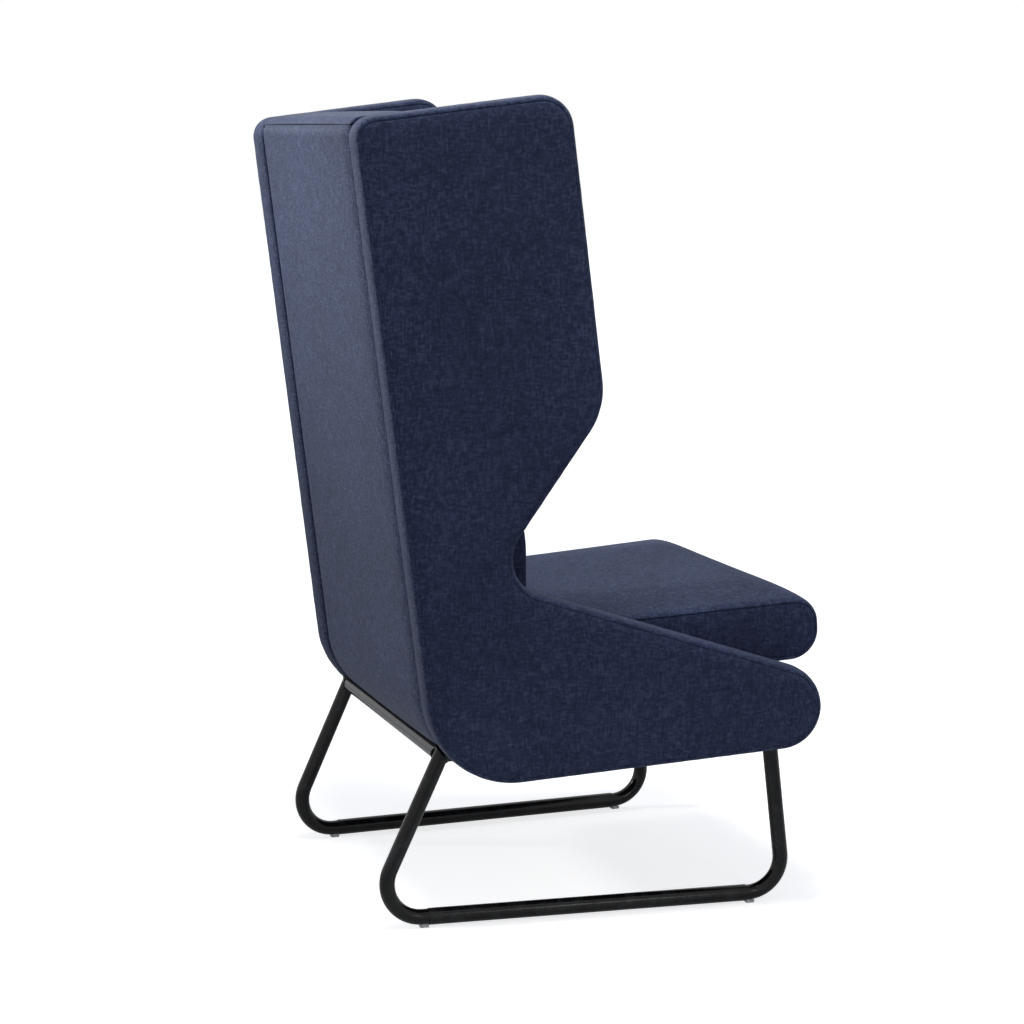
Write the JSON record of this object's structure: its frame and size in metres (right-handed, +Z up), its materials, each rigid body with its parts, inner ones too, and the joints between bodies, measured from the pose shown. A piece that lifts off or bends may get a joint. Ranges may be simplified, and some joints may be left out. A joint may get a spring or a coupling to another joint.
{
  "type": "high back lounge chair",
  "caption": "Upholstered high back lounge chair with tall winged side panels and low sloping arms, a deep seat, and a sled base of bent steel tube.",
  "frame": {"origin": "on the floor, at the middle of the chair's width and depth", "axes": "+Z up, the sitter faces -Y, +X to the sitter's left"},
  "size_m": [0.7016, 0.6898, 1.1557],
  "materials": {
    "powder_coat": "semi-gloss black powder coat",
    "zinc_steel": "zinc plated",
    "glide_plastic": "translucent nylon, satin",
    "plywood": "bare birch plywood",
    "timber": "planed softwood",
    "hardboard": "smooth hardboard",
    "shell_fabric": "felted navy wool cloth over padding",
    "seat_fabric": "felted navy wool cloth over foam",
    "foam": "bare firm foam",
    "bottom_cloth": "thin black lining cloth"
  },
  "bodies": {
    "root": {"left_floor_tube": "powder_coat", "right_floor_tube": "powder_coat", "left_rear_leg": "powder_coat", "right_rear_leg": "powder_coat", "left_front_leg": "powder_coat", "right_front_leg": "powder_coat", "left_top_rail": "powder_coat", "right_top_rail": "powder_coat", "rear_cross_tube": "powder_coat", "front_cross_tube": "powder_coat", "left_rail_sleeve": "powder_coat", "right_rail_sleeve": "powder_coat", "floor_glides": "glide_plastic", "base_tabs": "powder_coat", "base_bolts": "zinc_steel", "base_washers": "zinc_steel", "base_tee_nuts": "zinc_steel", "left_seat_rail": "timber", "right_seat_rail": "timber", "front_seat_rail": "timber", "rear_seat_rail": "timber", "seat_board": "plywood", "seat_cushion": "seat_fabric", "front_apron": "seat_fabric", "bottom_cloth": "bottom_cloth", "left_side_board": "plywood", "left_outer_pad": "shell_fabric", "left_inner_pad": "shell_fabric", "left_inner_roll": "shell_fabric", "left_edge_band": "shell_fabric", "left_spacers": "timber", "right_side_board": "plywood", "right_outer_pad": "shell_fabric", "right_inner_pad": "shell_fabric", "right_inner_roll": "shell_fabric", "right_edge_band": "shell_fabric", "right_spacers": "timber", "side_bolts": "zinc_steel", "side_washers": "zinc_steel", "side_tee_nuts": "zinc_steel", "back_board": "plywood", "back_rear_panel": "hardboard", "left_back_stile": "timber", "right_back_stile": "timber", "back_top_rail": "timber", "back_bottom_rail": "timber", "back_rear_pad": "shell_fabric", "back_top_band": "shell_fabric", "lumbar_block": "foam", "back_cushion": "seat_fabric"}
  },
  "joints": []
}
